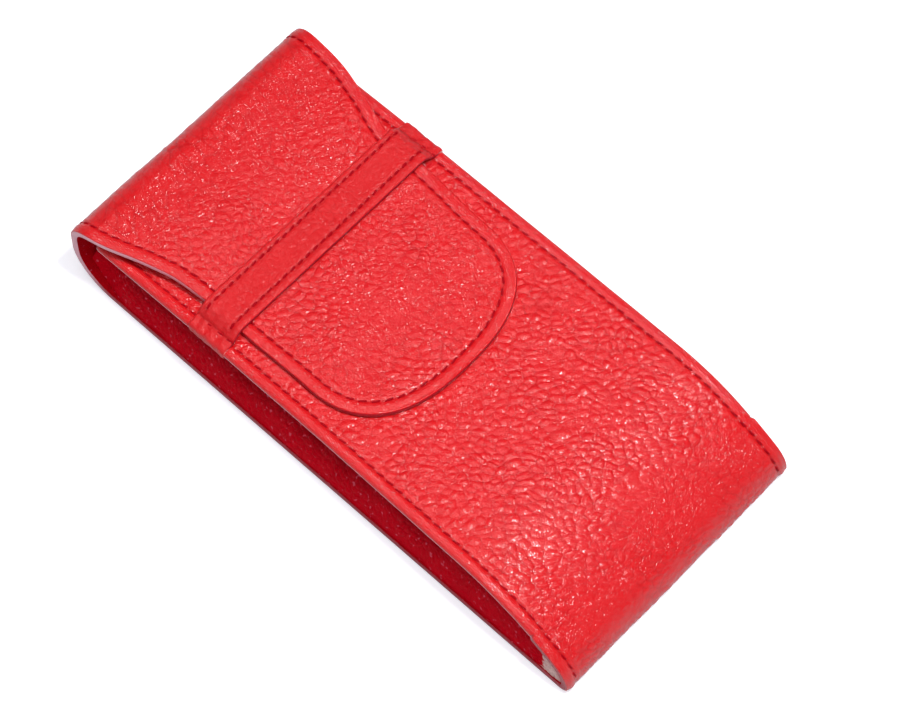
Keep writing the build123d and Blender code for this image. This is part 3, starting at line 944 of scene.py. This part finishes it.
flap_thread = thread_mesh("flap_stitches", strip, [flap_rows], THREAD, shift=flap_shift)
turn_thread = thread_mesh("fold_stitches", strip, turn_rows, THREAD)
back_thread = thread_mesh("back_stitches", strip, back_rows, THREAD, lift=-0.3)
band_s0, band_s1 = S_END - (MOUTH_Y - BAND_Y0), S_END - (MOUTH_Y - BAND_Y1)
under_band = part_rows(front_rows, S_TURN, band_s0 - 0.5) + part_rows(front_rows, band_s1 + 0.5, S_END)
front_thread = thread_mesh("front_stitches", strip, under_band, THREAD, shift=front_shift)
over_band = part_rows(front_rows, band_s0 - 0.5, band_s1 + 0.5)
over_thread = thread_mesh("band_end_stitches", strip, over_band, THREAD, lift=BAND_OVER_SEAM)
MOUTH_STITCHES, MOUTH_REACH = 20, 30.0
mouth_a = np.linspace(-MOUTH_REACH, MOUTH_REACH, MOUTH_STITCHES)
mouth_mids = np.stack([mouth_a, np.full(MOUTH_STITCHES, S_END - SEAM_INSET)], 1)
mouth_row = (mouth_mids, np.tile([1.0, 0.0], (MOUTH_STITCHES, 1)), PITCH)
mouth_thread = thread_mesh("mouth_stitches", strip, [mouth_row], THREAD)


# ------------------------------------------------------------------ band
def band_height(x):
    """Height of the band over its way across: level, an S-shaped slope off the tongue, level again."""
    end = FRONT_Z + BAND_SKIN
    return end + (BAND_Z - end) * (1 - smooth(x, TONGUE_HALF + 0.9, FRONT_HALF - 1.0))


def band_points():
    """The band seen along the case: over the flap, down to the panel, round its edge."""
    end = FRONT_Z + BAND_SKIN
    edge = FRONT_HALF + BAND_LIP
    x = line(0, edge - 1.2, 160)
    pts = [np.stack([x, band_height(x)], 1), arc((edge - 1.2, end - 1.2), 1.2, 90, 0)]
    pts += [line((edge, end - 1.2), (edge, end - 2.6), 8), arc((edge - 1.0, end - 2.6), 1.0, 0, -90)]
    pts += [line((edge - 1.0, end - 3.6), (edge - 3.5, end - 3.6), 8)]
    right = np.concatenate(pts)
    return np.concatenate([(right * [-1, 1])[:0:-1], right])


BAND_C = 0.5 * (BAND_Y0 + BAND_Y1)
band_path = Path(band_points(), (0, BAND_C, 0), (1, 0, 0), (0, 0, 1), (0, -1, 0), blur=0.55)
BAND_HALF = 0.5 * (BAND_Y1 - BAND_Y0)
MID = band_path.length / 2
row_half = FRONT_HALF - 4.0
seam_s = np.abs(band_path.find(SEAM_FRONT, band_height(SEAM_FRONT)) - MID)


ROW_PLACES = (-(BAND_HALF - 1.6), BAND_HALF - 2.4)


def band_rows():
    """The two rows of stitches along the band, upper and lower."""
    count = int(round(2 * row_half / BAND_PITCH))
    s = MID - row_half + (np.arange(count) + 0.5) * 2 * row_half / count
    way = np.tile([0.0, 1.0], (count, 1))
    return [(np.stack([np.full(count, a), s], 1), way, 2 * row_half / count) for a in ROW_PLACES]


BAND_ROWS = band_rows()


def band_half(s):
    return np.full(np.shape(s), BAND_HALF - 0.5)


def band_relief(A, S):
    """Small low pebbles, two stitch channels, turned edges, and creases where the ends are sewn down."""
    grain, crease = pebbles(A + 90, S + 500, 9, (1.0, 0.0), 0.2, 1.7)
    h = 0.5 * grain + 0.05 * noise(A, S, 6.0, 61)
    level = smooth(row_half + 1.0 - np.abs(S - MID), 0.0, 1.5)
    # painted shade along the two stitch channels
    dark = 0 * A
    for row, a in zip(BAND_ROWS, ROW_PLACES):
        h = h + level * groove(A - a, A, S, row, 0.24, 0.36)
        dark = dark + 0.8 * bell(A - a, 0.5) * level
    h = h + 0.1 * bell(np.abs(A) - (BAND_HALF - 1.0), 0.6)
    end = smooth(np.abs(S - MID), row_half - 6, row_half + 2)
    end = end * (1 - smooth(np.abs(S - MID), row_half + 4, row_half + 7))
    h = h + 0.12 * end * np.sin(A * 1.6 + 2.4 * noise(A, S, 5.0, 62))
    across = np.abs(S - MID) - seam_s
    h = h - 0.25 * bell(across, 0.5)
    corner = bell(across - 3.4, 0.8) * (A > 0)
    # crease: painted shade in creases, channels and the seam over each sewn-down end; pale: the raw corners
    return h, {"crease": np.clip(0.7 * crease + dark + 0.8 * bell(across, 0.4), 0, 1), "pale": corner}


band_s = np.linspace(0, band_path.length, 260)
band = sheet("band_face", band_path, band_s, band_half, 44, band_relief, BAND, "none", (0.5, 1.2))
band_thread = thread_mesh("band_stitches", band_path, BAND_ROWS, THREAD, radius=0.26)


def band_under():
    """Backing of the band: its inner face, between the ends."""
    s = band_path.s[np.abs(band_path.s - MID) < row_half + 3][::4]
    A, S = np.meshgrid(np.linspace(-1, 1, 12) * (BAND_HALF - 0.5), s)
    verts = band_path.at(A, S, np.full(A.shape, -1.25))
    zero = {"crease": np.zeros(A.size), "rim": np.zeros(A.size)}
    return build("band_backing_face", verts, one_grid(A.shape), to_uv(A, S), zero, LINING, flip=True)


band_back = band_under()


# ------------------------------------------------------------------ gussets
def gusset(side, name):
    """Side piece folded inwards. Across it q runs 0..1 from the back's edge to the front's edge, deepest
    at 0.72: x = edge - fold * deep(q) - tuck, z = low + q (high - low), where low follows the inside of
    the fold and high the inside of the front. Its bottom end is raw, split along the crease."""
    inner_s = np.linspace(S_TURN + 0.5, S_END - 1.0, 420)
    top = strip.at(np.zeros(inner_s.shape), inner_s, np.full(inner_s.shape, -LAMINATE))
    order = np.argsort(top[:, 1])
    y = np.linspace(BOTTOM + 1.2, MOUTH_Y + 4.5, 580)
    high = np.interp(y, top[order, 1], top[order, 2])
    tuck = 5.0 * smooth(y, MOUTH_Y - 10.0, MOUTH_Y + 4.5)[:, None]
    q = np.linspace(0, 1, 110)
    Y, Q = np.meshgrid(y, q, indexing="ij")
    past = np.clip(y - (TOP - LOW_R), 0, LOW_R - LAMINATE)
    low = LOW_R - np.sqrt((LOW_R - LAMINATE) ** 2 - past**2)
    tall = np.maximum(high - low, 0.05)[:, None]
    fold = np.minimum(7.6, 0.5 * tall)
    low_x = HALF - 0.15
    station_y = np.interp(y, top[order, 1], inner_s[order])
    high_x = (wrap_half(station_y) - 0.9 + side * front_shift(station_y))[:, None]
    crest = 0.72
    deep = np.clip(Q / crest, 0, 1) ** 1.15
    deep = np.where(Q < crest, deep, 1 - smooth((Q - crest) / 0.28, 0, 1))
    grain, crease = pebbles(Y, Q * 17 + 300, 17, (0.9, 0.3), 0.12, 1.25)
    lump = 0.35 * noise(Y, Q * 16, 9.0, 71) + 0.16 * noise(Y, Q * 16, 4.0, 72)
    slack = np.minimum(tall / 8, 1) * np.sin(np.pi * Q) ** 0.5
    x = low_x + (high_x - low_x) * Q - fold * deep + (1.3 * grain + lump) * slack
    x = x - tuck * (0.4 + 0.6 * Q)
    z = low[:, None] - 0.35 * (1 - Q) + Q * tall
    verts = np.stack([side * x, Y, z], -1)
    ragged = 0.9 * noise(Y, Q * 20, 1.9, 73) + 0.4 * noise(Y, Q * 20, 0.7, 74)
    raw = smooth(BOTTOM + 9.0 - 2.4 * Q + 1.6 * ragged - Y, -0.15, 0.15)
    slit = bell(Q - 0.36 + 0.05 * noise(Y, Q, 2.0, 75), 0.035) * raw
    # painted shade: the gusset darker towards the deep of its fold, under the front panel's edge, and a
    # dark line along the slit
    shade = smooth(Q, 0.1, 0.62)
    values = {
        "crease": np.clip(shade + 0.35 * crease + slit * 2, 0, 1).ravel(),
        "rim": np.zeros(Y.size),
        "raw": (raw * (1 - np.clip(slit * 1.6, 0, 1))).ravel(),
    }
    return build(name, verts, one_grid(Y.shape), to_uv(Y, Q * 20), values, GUSSET, flip=side > 0)


gusset_left = gusset(-1, "gusset_left_face")
gusset_right = gusset(1, "gusset_right_face")


def add_raw():
    """Beige flesh side where the gusset's ends are left raw."""
    tree = GUSSET.node_tree
    shader = tree.nodes["Principled BSDF"]
    raw = attribute(tree, "raw")
    dyed = shader.inputs["Base Color"].links[0].from_socket
    tree.links.new(mix(tree, raw, dyed, RAW), shader.inputs["Base Color"])
    rough = math_node(tree, "MULTIPLY_ADD", raw, 0.5, shader.inputs["Roughness"].default_value)
    tree.links.new(rough, shader.inputs["Roughness"])


add_raw()


def bend(piece):
    """Bake the piece's placement into its mesh."""
    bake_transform(piece)


for piece in (flap, lining_flap, flap_thread):
    bend(piece)
for piece in (turn, lining_turn, turn_thread):
    bend(piece)
for piece in (back, lining_back, back_thread):
    bend(piece)
for piece in (
    bottom, front, lining_wrap, front_thread, over_thread, mouth_thread, band, band_thread, band_back,
    gusset_left, gusset_right,
):
    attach(piece, "case")

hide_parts("flap_leather")
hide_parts("flap_lining")
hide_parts("flap_thread")
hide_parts("turn_high_leather", "turn_low_leather")
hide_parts("turn_high_lining", "turn_low_lining")
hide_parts("turn_high_thread", "turn_low_thread")
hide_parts("wrap_leather")
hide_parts("wrap_lining")
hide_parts("back_left_thread", "back_right_thread")
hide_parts("front_left_thread", "front_right_thread")
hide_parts("mouth_thread")
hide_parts("band_leather")
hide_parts("band_lining")
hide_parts("band_upper_thread", "band_lower_thread")
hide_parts("gusset_left")
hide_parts("gusset_right")


# ------------------------------------------------------------------ floor, light, camera
def make_floor():
    """Pale floor just under the object. Its own glow is seen by the camera and lights nothing."""
    size = 3.0
    below = -0.0002
    glow = 0.58
    corners = [(-size, -size, 0), (size, -size, 0), (size, size, 0), (-size, size, 0)]
    mesh = bpy.data.meshes.new("floor")
    mesh.from_pydata(corners, [], [(0, 1, 2, 3)])
    floor = bpy.data.objects.new("floor", mesh)
    floor.location.z = below
    bpy.context.scene.collection.objects.link(floor)
    material = bpy.data.materials.new("pale_floor")
    material.use_nodes = True
    shader = material.node_tree.nodes["Principled BSDF"]
    shader.inputs["Base Color"].default_value = FLOOR_GREY
    shader.inputs["Emission Color"].default_value = FLOOR_GLOW
    sight = material.node_tree.nodes.new("ShaderNodeLightPath")
    lift = math_node(material.node_tree, "MULTIPLY", sight.outputs["Is Camera Ray"], glow)
    material.node_tree.links.new(lift, shader.inputs["Emission Strength"])
    shader.inputs["Roughness"].default_value = 0.9
    shader.inputs["Specular IOR Level"].default_value = 0.1
    mesh.materials.append(material)


def placed(right, up, back, place):
    """The matrix of a lamp or camera that looks against back."""
    matrix = np.eye(4)
    matrix[:3] = np.stack([right, up, back, place], 1)
    return Matrix(matrix)


def area_light(name, place, target, size, power):
    """Square lamp at a place in metres, turned to its target."""
    data = bpy.data.lights.new(name, "AREA")
    data.shape = "SQUARE"
    data.size = size
    data.energy = power
    lamp = bpy.data.objects.new(name, data)
    bpy.context.scene.collection.objects.link(lamp)
    place, target = np.array(place), np.array(target)
    back = place - target
    back = back / np.linalg.norm(back)
    side = np.cross((0.0, 0.02, 1.0), back)
    side = side / np.linalg.norm(side)
    lamp.matrix_world = placed(side, np.cross(back, side), back, place)


def make_world():
    """Faint light from all round."""
    world = bpy.data.worlds.new("studio")
    world.use_nodes = True
    background = world.node_tree.nodes["Background"]
    background.inputs["Color"].default_value = SKY
    background.inputs["Strength"].default_value = SKY_STRENGTH
    bpy.context.scene.world = world


def make_camera():
    """Camera at az round the object, el above the floor and rolled, at a distance in metres. Its focal
    length and the centre of its picture are in steps of a picture that is wide by high of them."""
    az, el, roll = np.radians(-45.69), np.radians(63.6), np.radians(-1.07)
    distance, focal = 0.8755, 3773.1
    wide, high = 900.0, 716.0
    centre = (426.3, 346.7)
    sensor = 36.0
    right = np.array([np.cos(az), np.sin(az), 0.0])
    back = np.array([np.sin(az) * np.cos(el), -np.cos(az) * np.cos(el), np.sin(el)])
    up = np.cross(back, right)
    right, up = np.cos(roll) * right + np.sin(roll) * up, -np.sin(roll) * right + np.cos(roll) * up
    middle = np.array([0, 0, 0.012])
    place = middle + back * distance
    data = bpy.data.cameras.new("camera")
    data.sensor_width = sensor
    data.lens = focal * sensor / wide
    data.shift_x = (wide / 2 - centre[0]) / wide
    data.shift_y = (centre[1] - high / 2) / wide
    camera = bpy.data.objects.new("camera", data)
    bpy.context.scene.collection.objects.link(camera)
    camera.matrix_world = placed(right, up, back, place)
    bpy.context.scene.camera = camera


make_floor()
make_world()
area_light("overhead", (-0.22, -0.20, 1.25), (-0.22, -0.20, 0.0), 1.3, 12.8)
area_light("key", (0.08, -0.25, 1.04), (0.0, -0.03, 0.0), 0.10, 7.5)
make_camera()
bpy.context.scene.view_settings.view_transform = "Standard"
